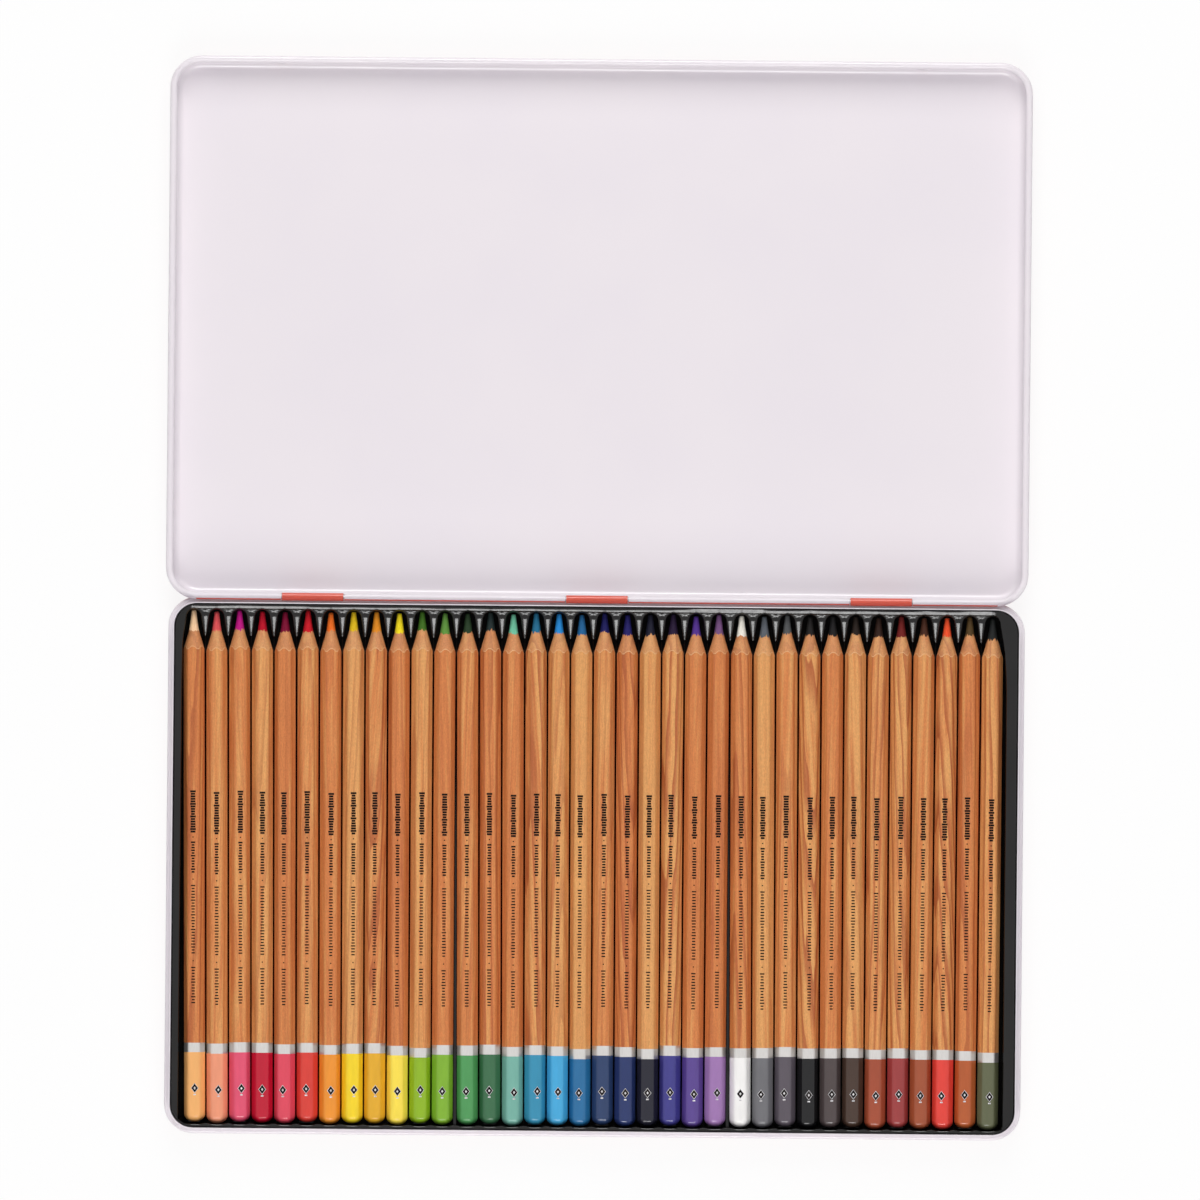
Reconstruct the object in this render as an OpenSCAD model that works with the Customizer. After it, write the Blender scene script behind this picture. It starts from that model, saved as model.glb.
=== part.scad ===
// A flat hinged tin that holds 36 coloured pencils in a black moulded tray.
// Origin: centre of the base's underside. +Y runs to the hinge and the opened lid, +Z up.
// The lid is drawn opened by 180 degrees, lying flat beside the base.

/* [Pencils] */
// Length of a pencil
pencil_l = 175; // [150:0.5:200]
// Distance between opposite flats
flats = 6.6; // [6:0.1:7.4]
// How much the six edges are rounded off
edge_rounding = 0.21; // [0.15:0.01:0.3]
// Radius of the coloured core
core_r = 1.5; // [1.2:0.05:1.8]
// Radius of the blunted point
tip_r = 0.7; // [0.4:0.05:0.9]
// Length of bare core at the point
core_bare = 6.4; // [4:0.1:8]
// Length of the sharpened part, bare core included
sharp_l = 13.4; // [11:0.1:16]
// Length of the dipped end
dip_l = 24; // [16:0.5:34]
// Length of the silver foil band
band_l = 3.6; // [2:0.1:5]
// Radius of the dome at the dipped end
dome_r = 4.7; // [4.2:0.1:6]
// Thickness of lacquer and foil
skin = 0.06; // [0.04:0.01:0.1]

/* [Layout] */
// Gap between the edges of neighbouring pencils at their points
tip_gap = 0.6; // [0.5:0.05:1]
// The same gap at their blunt ends, within a dozen
end_gap = 0.5; // [0.4:0.05:0.7]
// Extra gap between two dozens at the blunt ends
dozen_gap = 0.85; // [0:0.05:1.2]
// How far the first pencil leans to the right from its point to its blunt end
end_shift = 1.55; // [0.8:0.05:2]
// Room left of the first pencil
left_room = 0.45; // [0.3:0.05:0.8]
// Room right of the last pencil
right_room = 1.3; // [0.3:0.05:1.8]
// Room past each end of the pencils
end_room = 0.55; // [0.45:0.05:0.7]
// Gap between a seated pencil and the tray
seat_gap = 0.25; // [0.15:0.05:0.3]

/* [Tray] */
// Width of the tray's rim left of the pencils
left_flange = 2.4; // [1.6:0.1:4]
// Width of the rim right of the pencils
right_flange = 3.75; // [1.6:0.05:5]
// Width of the rim behind the points
back_flange = 1.8; // [1.2:0.1:3]
// Width of the rim before the blunt ends
front_flange = 0.8; // [0.7:0.1:2]
// Thickness of the moulded sheet
tray_wall = 0.5; // [0.4:0.05:0.6]
// Depth of the pencils' upper flats below the tray's rim
pencil_drop = 1.05; // [0.8:0.05:1.4]
// Thickness of the two ribs under the pencils
rib_t = 2.4; // [1.6:0.1:3.2]
// Depth of the ribs' crests below the middle of the pencils
rib_drop = 0.45; // [0.3:0.05:1]
// Distance of the back rib from the pencils' points
back_rib_from_tip = 13.2; // [11:0.1:20]
// Distance of the front rib from the pencils' blunt ends
front_rib_from_end = 18; // [12:0.5:30]
// Depth of the comb between the points below the tray's rim
comb_drop = 1.6; // [1:0.1:3]
// Length of the comb's teeth
comb_l = 9.6; // [6:0.1:10]
// Radius of the arch behind each point
arch_r = 2.6; // [2:0.1:3]
// Gap between the tray and the neck
tray_gap = 0.3; // [0.2:0.05:0.4]

/* [Tin] */
// Height of the closed tin
closed_h = 15; // [14.8:0.1:18]
// Thickness of the tinplate
sheet = 0.35; // [0.3:0.05:0.4]
// Radius of the base's upright corners, seen from above
base_corner = 10; // [8:0.5:14]
// Radius of the bend round the base's bottom edge
base_bend = 2; // [1.5:0.1:3]
// Radius of the bend round the lid's panel
lid_bend = 2.5; // [1.5:0.1:3]
// Width of the shelf, from the base's outer face to its neck
shelf_w = 1.8; // [1.6:0.1:2]
// Gap between the shelf and the closed lid's rim
shelf_gap = 0.15; // [0.1:0.05:0.3]
// Space between the neck's top edge and the closed lid
lid_space = 1.85; // [1.5:0.05:2.4]
// Depth of the tray's rim below the neck's top edge
rim_drop = 0.6; // [0.3:0.1:1]
// Outer radius of the curl round the lid's rim
curl_r = 1.15; // [1.05:0.05:1.2]
// Gap between the lid's wall and the neck
lid_gap = 0.5; // [0.4:0.05:0.7]

/* [Hinge] */
// Distance of the hinge axis behind the base's back face
axis_behind = 0.25; // [0.2:0.05:0.5]
// Thickness of a knuckle's wall
knuckle_wall = 0.5; // [0.4:0.02:0.52]
// Play between a pin and its knuckle
pin_play = 0.07; // [0.05:0.01:0.15]
// Length of a knuckle
knuckle_len = 21; // [14:1:30]
// Distance from the base's side to the middle of the outer hinge
hinge_inset = 49.3; // [30:0.1:80]
// Gap between a knuckle's end and the cut in the lid's curl
knuckle_gap = 0.35; // [0.2:0.05:0.8]
// Length of pin inside the curl at each end
pin_hold = 8; // [4:1:14]

/* [Snap dimples] */
// Gap between a dimple and the neck
dimple_gap = 0.1; // [0.05:0.05:0.2]
// Radius that a dimple is pressed with
dimple_r = 7; // [5:0.5:10]
// Height of a dimple on the wall
dimple_h = 1.8; // [1:0.1:2.4]
// Distance from the lid's side to a front dimple
dimple_inset = 37.5; // [25:0.5:60]
// Distance of the side dimples from the hinge axis
dimple_from_axis = 31; // [20:1:90]
// Gap between a dimple and the bend of the lid's panel
dimple_lift = 0.3; // [0:0.05:0.6]

/* [Hidden] */
$fn = 64;
PENCILS = 36;
DOZEN = 12;
// Gap between pieces that are glued, coated or pushed together
fine_gap = 0.02;
// Overshoot of a cut past the face it opens
past = 1;
// Radius of the bend at the shelf's outer edge
shelf_bend = 0.8;
// Height of the tab that carries a knuckle, above the shelf
tab_rise = 0.4;
// Width of that tab
tab_w = 0.5;
// Angles between which the curl's end stays open
curl_slit = [216, 238];
// Gap kept clear of the lid's wall round a knuckle
knuckle_room = 0.45;
// How far the turned outline passes outside a pencil's edges
clear_of_edges = 0.1;
// Largest lengthwise and sideways turn by which the pencils lie unevenly
uneven_l = 0.3;
uneven_turn = 6;
// Angle step whose sine scatters the pencils
uneven_step = 137;

// The row of pencils
edge_r = flats / 2 / cos(30) - edge_rounding;
tip_pitch = 2 * edge_r + tip_gap;
end_pitch = 2 * edge_r + end_gap;

// The tray, from the row
tray_w = left_flange + left_room + 2 * edge_r + (PENCILS - 1) * tip_pitch + right_room + right_flange;
tray_l = front_flange + 2 * end_room + pencil_l + back_flange;
tip_first_x = -tray_w / 2 + left_flange + left_room + edge_r;
end_first_x = tip_first_x + end_shift;
pocket_left = -tray_w / 2 + left_flange;
pocket_right = tray_w / 2 - right_flange;
pocket_back = tray_l / 2 - back_flange;
pocket_front = -tray_l / 2 + front_flange;
tip_y = pocket_back - end_room;
end_y = tip_y - pencil_l;
back_rib_y = tip_y - back_rib_from_tip;
front_rib_y = end_y + front_rib_from_end;

// The base, from the tray
neck_inner_w = tray_w + 2 * tray_gap;
neck_inner_l = tray_l + 2 * tray_gap;
base_w = neck_inner_w + 2 * (shelf_w + sheet);
base_l = neck_inner_l + 2 * (shelf_w + sheet);
neck_inner_r = base_corner - shelf_w - sheet;
tray_r = neck_inner_r - tray_gap;

// Heights
hinge_z = closed_h / 2;
shelf_z = hinge_z - curl_r - shelf_gap;
neck_top = closed_h - sheet - lid_space;
tray_top = neck_top - rim_drop;
pencil_z = tray_top - pencil_drop - flats / 2;
tray_floor = pencil_z - flats / 2 - seat_gap;
rib_top = pencil_z - rib_drop;
comb_top = tray_top - comb_drop;
foot_z = sheet + fine_gap;

// The lid, from the base
axis_y = base_l / 2 + axis_behind;
lid_inner = 2 * curl_r;
lid_overhang = lid_inner + lid_gap - shelf_w;
lid_w = base_w + 2 * lid_overhang;
lid_l = lid_overhang + base_l + axis_behind + curl_r;
lid_corner = base_corner + lid_overhang;
lid_y = axis_y - curl_r + lid_l / 2;
dimple_depth = lid_gap - dimple_gap;

// The hinges
pin_r = curl_r - sheet - fine_gap;
bore_r = pin_r + pin_play;
knuckle_r = bore_r + knuckle_wall;
notch_h = knuckle_r + knuckle_room;
hinge_x = base_w / 2 - hinge_inset;
dimple_x = lid_w / 2 - dimple_inset;

// Radius of the tray pocket's corners
pocket_r = 3;

TIN_WHITE = [0.93, 0.9, 0.93];
TIN_RED = [0.85, 0.33, 0.29];
STEEL = [0.7, 0.7, 0.72];
TRAY_BLACK = [0.1, 0.1, 0.1];
CEDAR = [0.82, 0.56, 0.35];
FOIL = [0.82, 0.82, 0.83];
// Lacquer colours from left to right, a line for each dozen
PIGMENTS = [
    "peachpuff", "salmon", "palevioletred", "crimson", "indianred", "tomato",
    "darkorange", "gold", "goldenrod", "yellow", "yellowgreen", "olivedrab",
    "seagreen", "darkgreen", "mediumaquamarine", "steelblue", "deepskyblue", "royalblue",
    "midnightblue", "navy", "black", "darkslateblue", "rebeccapurple", "mediumpurple",
    "white", "gray", "dimgray", "black", "darkslategray", "saddlebrown",
    "sienna", "brown", "maroon", "orangered", "peru", "darkolivegreen"
];

function two_digits(n) = n < 10 ? str("0", n) : str(n);
function pencil_name(n) = str("pencil_", two_digits(n));
function tip_x(n) = tip_first_x + (n - 1) * tip_pitch;
function end_x(n) = end_first_x + (n - 1) * end_pitch + floor((n - 1) / DOZEN) * dozen_gap;
function lean(n) = atan((end_x(n) - tip_x(n)) / (back_rib_y - front_rib_y));

// ---- shared shapes ----

module rounded(w, l, r) {
    square([w - 2 * r, l], center = true);
    square([w, l - 2 * r], center = true);
    for (x = [-1, 1], y = [-1, 1])
        translate([x * (w / 2 - r), y * (l / 2 - r)]) circle(r);
}

module rounded_block(w, l, r, z0, z1) {
    translate([0, 0, z0]) linear_extrude(z1 - z0) rounded(w, l, r);
}

// Sweeps a wall section round a rounded rectangle. In the section, x is the
// distance out from the corner's centre and y is the height.
module round_the_rim(w, l, r) {
    for (k = [0:3]) {
        side = k % 2 == 0 ? [w, l] : [l, w];
        rotate([0, 0, 90 * k]) translate([side[0] / 2 - r, side[1] / 2 - r, 0]) {
            rotate_extrude(angle = 90) children();
            rotate([90, 0, 0]) linear_extrude(side[1] - 2 * r) children();
        }
    }
}

// Quarter ring of sheet metal with its outer corner towards +x and the sign of up
module bend(r, up) {
    intersection() {
        difference() {
            circle(r);
            circle(r - sheet);
        }
        translate([0, up > 0 ? 0 : -r]) square(r);
    }
}

// ---- base ----

module base_section() {
    r = base_corner;
    neck_x = r - shelf_w - sheet;
    translate([r - base_bend, base_bend]) bend(base_bend, -1);
    translate([r - sheet, base_bend]) square([sheet, shelf_z - shelf_bend - base_bend]);
    translate([r - shelf_bend, shelf_z - shelf_bend]) bend(shelf_bend, 1);
    translate([neck_x, shelf_z - sheet]) square([r - shelf_bend - neck_x, sheet]);
    translate([neck_x, shelf_z - sheet]) square([sheet, neck_top - shelf_z + sheet]);
}

module knuckle() {
    translate([-knuckle_len / 2, 0, 0]) rotate([90, 0, 90]) linear_extrude(knuckle_len)
        difference() {
            union() {
                translate([axis_y, hinge_z]) circle(knuckle_r);
                translate([base_l / 2 - tab_w, shelf_z - sheet]) square([tab_w, sheet + tab_rise]);
            }
            translate([axis_y, hinge_z]) circle(bore_r);
        }
}

module base_pan() {
    color(TIN_WHITE) {
        round_the_rim(base_w, base_l, base_corner) base_section();
        rounded_block(base_w - 2 * base_bend, base_l - 2 * base_bend,
            base_corner - base_bend, 0, sheet);
        for (k = [-1:1]) translate([k * hinge_x, 0, 0]) knuckle();
    }
}

// ---- lid, drawn opened ----

module curl() {
    difference() {
        circle(curl_r);
        circle(curl_r - sheet);
        polygon([[0, 0], for (a = curl_slit) 2 * curl_r * [cos(a), sin(a)]]);
    }
}

module lid_section() {
    wall_x = lid_corner - lid_inner;
    bend_x = wall_x + sheet - lid_bend;
    translate([bend_x, lid_bend]) bend(lid_bend, -1);
    translate([wall_x, lid_bend]) square([sheet, hinge_z - lid_bend]);
    translate([wall_x + curl_r, hinge_z]) curl();
}

// A pressed dimple: grow is 0 for its inner face and minus the sheet for its dent
module dimple(grow) {
    translate([0, dimple_r - dimple_depth, lid_bend + dimple_lift - grow / 2])
        cylinder(r = dimple_r + grow, h = dimple_h + grow);
}

module place_dimples() {
    inner_w = lid_w / 2 - lid_inner;
    inner_l = lid_l / 2 - lid_inner;
    for (x = [-1, 1]) {
        translate([x * dimple_x, lid_y + inner_l, 0]) children();
        translate([x * inner_w, axis_y + dimple_from_axis, 0]) rotate([0, 0, -90 * x]) children();
    }
}

module lid_wall_zone() {
    wall_w = lid_w - 2 * lid_inner + 2 * sheet;
    wall_l = lid_l - 2 * lid_inner + 2 * sheet;
    wall_r = lid_corner - lid_inner + sheet;
    translate([0, lid_y, 0]) rounded_block(wall_w, wall_l, wall_r, 0, closed_h);
}

module lid() {
    floor_w = lid_w - 2 * (lid_inner - sheet + lid_bend);
    floor_l = lid_l - 2 * (lid_inner - sheet + lid_bend);
    color(TIN_WHITE) difference() {
        union() {
            translate([0, lid_y, 0]) {
                round_the_rim(lid_w, lid_l, lid_corner) lid_section();
                rounded_block(floor_w, floor_l, lid_corner - lid_inner + sheet - lid_bend, 0, sheet);
            }
            intersection() {
                place_dimples() dimple(0);
                lid_wall_zone();
            }
        }
        intersection() {
            place_dimples() dimple(-sheet);
            lid_wall_zone();
        }
        for (k = [-1:1]) translate([k * hinge_x, axis_y, hinge_z - notch_h])
            notch();
    }
}

module notch() {
    w = knuckle_len + 2 * knuckle_gap;
    depth = curl_r + past;
    translate([-w / 2, -depth, 0]) cube([w, 2 * depth, notch_h + depth]);
}

// ---- hinge pins ----

module hinge_pin(k) {
    l = knuckle_len + 2 * (knuckle_gap + pin_hold);
    color(STEEL) translate([k * hinge_x - l / 2, axis_y, hinge_z])
        rotate([0, 90, 0]) cylinder(r = pin_r, h = l);
}

// ---- tray ----

module pocket_block(grow, z0, z1) {
    w = pocket_right - pocket_left;
    l = pocket_back - pocket_front;
    translate([(pocket_left + pocket_right) / 2, (pocket_front + pocket_back) / 2, 0])
        rounded_block(w + 2 * grow, l + 2 * grow, pocket_r + grow, z0, z1);
}

// The space that a pencil and its clearance take, up to where the tray is open
module cradle_cut(n) {
    lay_pencil(n) translate([0, 0, -past]) cylinder(r = edge_r + seat_gap, h = pencil_l + 2 * past);
}

module rib(y) {
    w = pocket_right - pocket_left + tray_wall;
    translate([pocket_left - tray_wall / 2, y - rib_t / 2, tray_floor - tray_wall / 2])
        cube([w, rib_t, rib_top - tray_floor + tray_wall / 2]);
}

// Plan of the pocket round one point: an arch that widens towards the pencil
module point_pocket() {
    arch_y = end_room - arch_r;
    mouth_y = arch_y - comb_l;
    mouth_w = edge_r + seat_gap;
    translate([0, arch_y]) circle(arch_r);
    polygon([[-arch_r, arch_y], [-mouth_w, mouth_y], [mouth_w, mouth_y], [arch_r, arch_y]]);
}

module comb() {
    w = pocket_right - pocket_left;
    l = comb_l + end_room;
    difference() {
        intersection() {
            pocket_block(tray_wall / 2, tray_floor - tray_wall / 2, comb_top);
            translate([pocket_left - past, pocket_back - l, 0]) cube([w + 2 * past, l + past, comb_top]);
        }
        for (n = [1:PENCILS])
            translate([tip_x(n) - back_rib_from_tip * tan(lean(n)), tip_y, tray_floor])
                rotate([0, 0, lean(n)]) linear_extrude(comb_top) point_pocket();
    }
}

module tray() {
    color(TRAY_BLACK) {
        difference() {
            rounded_block(tray_w, tray_l, tray_r, foot_z, tray_top);
            pocket_block(0, tray_floor, tray_top + past);
            difference() {
                rounded_block(tray_w - 2 * tray_wall, tray_l - 2 * tray_wall,
                    tray_r - tray_wall, 0, tray_top - tray_wall);
                pocket_block(tray_wall, tray_floor - tray_wall, tray_top);
            }
        }
        difference() {
            union() {
                rib(back_rib_y);
                rib(front_rib_y);
            }
            for (n = [1:PENCILS]) cradle_cut(n);
        }
        comb();
    }
}

// ---- pencils ----

function uneven(n) = sin(uneven_step * n);

// Lays a pencil drawn upright, blunt end at the origin, into its place
module lay_pencil(n) {
    translate([end_x(n), front_rib_y, pencil_z]) rotate([0, 0, lean(n)])
        translate([0, -front_rib_from_end, 0]) rotate([-90, 0, 0]) children();
}

module hexagon(inset) {
    intersection() {
        circle(r = (flats / 2 - inset) / cos(30), $fn = 6);
        circle(edge_r - inset);
    }
}

// Half outline of a pencil's two ends, wider than its edges between them. The
// dome is lowered by inset.
module turning(inset) {
    wide = flats / 2 / cos(30) + clear_of_edges;
    slope = (edge_r - core_r) / (sharp_l - core_bare);
    cone_z = pencil_l - sharp_l - (wide - edge_r) / slope;
    dome_z = dome_r - sqrt(pow(dome_r - inset, 2) - pow(wide, 2));
    intersection() {
        translate([0, dome_r]) circle(dome_r - inset);
        square([wide, dome_z]);
    }
    polygon([
        [0, dome_z], [wide, dome_z], [wide, cone_z],
        [core_r, pencil_l - core_bare], [tip_r, pencil_l], [0, pencil_l]
    ]);
}

module stem(inset, z0, z1) {
    intersection() {
        translate([0, 0, z0]) linear_extrude(z1 - z0) hexagon(inset);
        rotate_extrude() turning(inset);
    }
}

module casing() {
    color(CEDAR) difference() {
        union() {
            stem(skin + fine_gap, 0, dip_l + band_l + past);
            stem(0, dip_l + band_l + fine_gap, pencil_l);
        }
        translate([0, 0, -past]) cylinder(r = core_r, h = pencil_l + 2 * past);
    }
}

module core() {
    bare_z = pencil_l - core_bare;
    back_z = dome_r - sqrt(pow(dome_r - skin - fine_gap, 2) - pow(core_r, 2));
    r = core_r - fine_gap;
    rotate_extrude() polygon([[0, back_z], [r, back_z], [r, bare_z], [tip_r, pencil_l], [0, pencil_l]]);
}

module dip() {
    difference() {
        stem(0, 0, dip_l);
        stem(skin, 0, dip_l + past);
    }
}

module foil_band() {
    color(FOIL) translate([0, 0, dip_l + fine_gap]) linear_extrude(band_l - fine_gap) difference() {
        hexagon(0);
        hexagon(skin);
    }
}

module pencil(n) {
    lay_pencil(n) translate([0, 0, uneven_l * uneven(n)]) rotate([0, 0, uneven_turn * uneven(2 * n)]) {
        casing();
        foil_band();
        color(PIGMENTS[n - 1]) core();
        color(PIGMENTS[n - 1]) dip();
    }
}

// ---- nodes ----

base_pan();
lid();
hinge_pin(-1);  // hinge_pin_left
hinge_pin(0);  // hinge_pin_centre
hinge_pin(1);  // hinge_pin_right
tray();
for (n = [1:PENCILS]) pencil(n);
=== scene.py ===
# Looks of an opened pencil tin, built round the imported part.
import bpy
import math
import random
from mathutils import Matrix, Vector


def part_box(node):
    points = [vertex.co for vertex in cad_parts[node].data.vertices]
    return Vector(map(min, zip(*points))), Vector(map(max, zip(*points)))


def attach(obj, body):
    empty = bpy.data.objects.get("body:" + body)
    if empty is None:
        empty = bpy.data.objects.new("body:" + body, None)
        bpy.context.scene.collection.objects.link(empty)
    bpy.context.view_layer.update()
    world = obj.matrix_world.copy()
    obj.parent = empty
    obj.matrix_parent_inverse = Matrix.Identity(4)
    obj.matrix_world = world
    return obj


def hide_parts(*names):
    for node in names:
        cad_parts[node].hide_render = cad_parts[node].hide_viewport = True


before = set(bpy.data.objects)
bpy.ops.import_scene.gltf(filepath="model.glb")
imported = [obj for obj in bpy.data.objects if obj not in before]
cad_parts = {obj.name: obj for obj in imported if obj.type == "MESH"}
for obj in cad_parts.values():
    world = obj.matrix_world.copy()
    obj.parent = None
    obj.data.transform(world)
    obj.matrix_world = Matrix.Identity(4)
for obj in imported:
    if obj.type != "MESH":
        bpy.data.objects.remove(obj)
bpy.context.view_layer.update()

MM = 0.001

# ---- sizes that the pencils share with the part, in millimetres ----

PENCILS = 36
DOZEN = 12
PENCIL_L = 175.0
APOTHEM = 3.3
EDGE_R = APOTHEM / math.cos(math.radians(30)) - 0.21
CORE_R = 1.6
TIP_R = 0.75
CORE_BARE = 6.6
SHARP_L = 13.4
DIP_L = 24.0
BAND_L = 3.6
TIP_PITCH = 2 * EDGE_R + 0.6
END_PITCH = 2 * EDGE_R + 0.5
DOZEN_GAP = 0.85
FIRST_TIP_X = -137.617
FIRST_END_X = FIRST_TIP_X + 1.55
TIP_Y = 87.0
END_Y = TIP_Y - PENCIL_L
BACK_RIB = 13.2
FRONT_RIB = 18.0
PENCIL_Z = 7.85
UNEVEN_L = 0.3
UNEVEN_TURN = 6.0
UNEVEN_STEP = 137.0

# ---- sizes of the tray, in millimetres ----

TRAY_LOW, TRAY_HIGH = [[v * 1000 for v in corner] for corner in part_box("tray")]
TRAY_R = 7.55
TRAY_SHEET = 0.5
TRAY_FLOOR = 4.3
POCKET_LEFT = TRAY_LOW[0] + 2.4
POCKET_RIGHT = TRAY_HIGH[0] - 3.75
POCKET_BACK = TRAY_HIGH[1] - 1.8
POCKET_FRONT = TRAY_LOW[1] + 0.8
POCKET_R = 3.0
RIB_TOP = 7.4
RIB_HALF = 1.2
CRADLE_R = EDGE_R + 0.25
ARCH_R = 2.6
COMB_L = 9.6

# ---- shader building ----


def srgb(r, g, b):
    """A colour written as 0 to 255 for each channel, as linear light."""
    out = []
    for v in (r, g, b):
        v /= 255
        out.append(v / 12.92 if v <= 0.04045 else ((v + 0.055) / 1.055) ** 2.4)
    return (*out, 1.0)


class Look:
    """A material, with short calls that add nodes to it."""

    def __init__(self, name):
        self.mat = bpy.data.materials.new(name)
        self.mat.use_nodes = True
        self.tree = self.mat.node_tree
        self.tree.nodes.clear()

    def add(self, kind, inputs=None, **settings):
        node = self.tree.nodes.new("ShaderNode" + kind)
        for key, value in settings.items():
            setattr(node, key, value)
        for key, value in (inputs or {}).items():
            if isinstance(value, bpy.types.NodeSocket):
                self.tree.links.new(value, node.inputs[key])
            else:
                node.inputs[key].default_value = value
        return node

    def math(self, op, a, b=0.0, c=0.0, clamp=False):
        return self.add("Math", {0: a, 1: b, 2: c}, operation=op, use_clamp=clamp).outputs[0]

    def vmath(self, op, a, b=(0, 0, 0)):
        node = self.add("VectorMath", {0: a, 1: b}, operation=op)
        return node.outputs["Value" if op in ("LENGTH", "DOT_PRODUCT", "DISTANCE") else "Vector"]

    def mix(self, fac, a, b, blend="MIX"):
        node = self.add("Mix", {0: fac, 6: a, 7: b}, data_type="RGBA", blend_type=blend)
        return node.outputs[2]

    def noise(self, at, scale, detail=2.0, rough=0.5, distort=0.0):
        inputs = {"Vector": at, "Scale": scale, "Detail": detail, "Roughness": rough,
                  "Distortion": distort}
        return self.add("TexNoise", inputs).outputs["Fac"]

    def step(self, value, low, high, out_low=0.0, out_high=1.0):
        inputs = {0: value, 1: low, 2: high, 3: out_low, 4: out_high}
        return self.add("MapRange", inputs, interpolation_type="SMOOTHSTEP").outputs[0]

    def xyz(self, vector):
        return self.add("SeparateXYZ", {0: vector}).outputs

    def attribute(self, name):
        return self.add("Attribute", attribute_name=name).outputs

    def here(self):
        """The place in the part's frame at rest, in millimetres."""
        at = self.add("TexCoord").outputs["Object"]
        return self.scaled(at, 1000)

    def scaled(self, vector, by):
        if not hasattr(by, "__len__"):
            by = (by, by, by)
        return self.vmath("MULTIPLY", vector, by)

    def bump(self, height, strength, distance, normal=None):
        inputs = {"Height": height, "Strength": strength, "Distance": distance}
        if normal is not None:
            inputs["Normal"] = normal
        return self.add("Bump", inputs).outputs[0]

    def bevel(self, radius):
        return self.add("Bevel", {"Radius": radius}, samples=4).outputs[0]

    def finish(self, **inputs):
        keys = {k.replace("_", " "): v for k, v in inputs.items()}
        shader = self.add("BsdfPrincipled", keys)
        out = self.add("OutputMaterial")
        self.tree.links.new(shader.outputs[0], out.inputs[0])
        return self.mat


# ---- materials ----

WHITE_ENAMEL = srgb(236, 230, 235)
CORAL = srgb(224, 86, 62)
PALE_CEDAR = srgb(224, 162, 98)
WARM_CEDAR = srgb(210, 128, 72)
RED_CEDAR = srgb(178, 94, 54)
LATEWOOD = srgb(172, 90, 50)
RAW_CEDAR = srgb(214, 154, 104)
CUT_CEDAR = srgb(238, 198, 148)


def enamel(name, red_mask):
    """Glossy enamel: white inside, coral where red_mask says so."""
    look = Look(name)
    at = look.here()
    normal = look.bevel(0.25 * MM)
    red = red_mask(look, at)
    tint = look.noise(at, 0.02, 2)
    white = look.mix(look.step(tint, 0.3, 0.7), WHITE_ENAMEL, srgb(234, 228, 234))
    coral = look.mix(look.step(tint, 0.3, 0.7), CORAL, srgb(222, 84, 60))
    peel = look.noise(at, 0.9, 2)
    return look.finish(
        Base_Color=look.mix(red, white, coral),
        Roughness=0.28,
        Coat_Weight=0.3,
        Coat_Roughness=0.15,
        Normal=look.bump(peel, 0.04, 0.1 * MM, normal),
    )


# Where the tin turns from coral to white, in millimetres in the part's frame
BASE_WALL_TOP = 5.2
KNUCKLE_FRONT = 90.6
KNUCKLE_FOOT = 6.25
LID_MIDDLE_Y = 183.9
LID_WALL_TOP = 6.5
LID_PANEL_TOP = 3.0
# The HINGE_CURL values bound a coral strip on the lid's hinge-side curl: a painted reflection of the base's
# red hinge and back wall, not paint
HINGE_CURL_BACK = 91.6
HINGE_CURL_TOP = 8.4
HINGE_CURL_HALF = 137.0


def base_red(look, at):
    _, y, z = look.xyz(at)
    normal = look.add("TexCoord").outputs["Normal"]
    n_z = look.xyz(normal)[2]
    flat = look.vmath("MULTIPLY", at, (1, 1, 0))
    outward = look.vmath("DOT_PRODUCT", normal, flat)
    below = look.math("LESS_THAN", z, BASE_WALL_TOP)
    wall = look.math("MULTIPLY", look.math("GREATER_THAN", outward, 0.0), below)
    wall = look.math("MULTIPLY", wall, look.math("LESS_THAN", n_z, 0.5))
    under = look.math("LESS_THAN", n_z, -0.3)
    behind = look.math("GREATER_THAN", y, KNUCKLE_FRONT)
    knuckle = look.math("MULTIPLY", behind, look.math("GREATER_THAN", z, KNUCKLE_FOOT))
    return look.math("MAXIMUM", knuckle, look.math("MAXIMUM", wall, under))


def lid_red(look, at):
    x, y, z = look.xyz(at)
    normal = look.add("TexCoord").outputs["Normal"]
    _, n_y, n_z = look.xyz(normal)
    from_middle = look.vmath("MULTIPLY", look.vmath("SUBTRACT", at, (0, LID_MIDDLE_Y, 0)), (1, 1, 0))
    outward = look.vmath("DOT_PRODUCT", normal, from_middle)
    below = look.math("LESS_THAN", z, LID_WALL_TOP)
    wall = look.math("MULTIPLY", look.math("GREATER_THAN", outward, 0.0), below)
    wall = look.math("MULTIPLY", wall, look.math("LESS_THAN", n_z, 0.5))
    panel = look.math("LESS_THAN", z, LID_PANEL_TOP)
    under = look.math("MULTIPLY", look.math("LESS_THAN", n_z, -0.3), panel)
    # Painted reflection: the curl's face towards the base turns coral, standing in for the red hinge and back
    # wall reflected in it
    in_front = look.math("LESS_THAN", y, HINGE_CURL_BACK)
    red_reflection = look.math("MULTIPLY", in_front, look.math("LESS_THAN", n_y, -0.6))
    inside_ends = look.math("LESS_THAN", look.math("ABSOLUTE", x), HINGE_CURL_HALF)
    red_reflection = look.math("MULTIPLY", red_reflection, inside_ends)
    red_reflection = look.math("MULTIPLY", red_reflection, look.math("LESS_THAN", z, HINGE_CURL_TOP))
    return look.math("MAXIMUM", red_reflection, look.math("MAXIMUM", wall, under))


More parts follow.
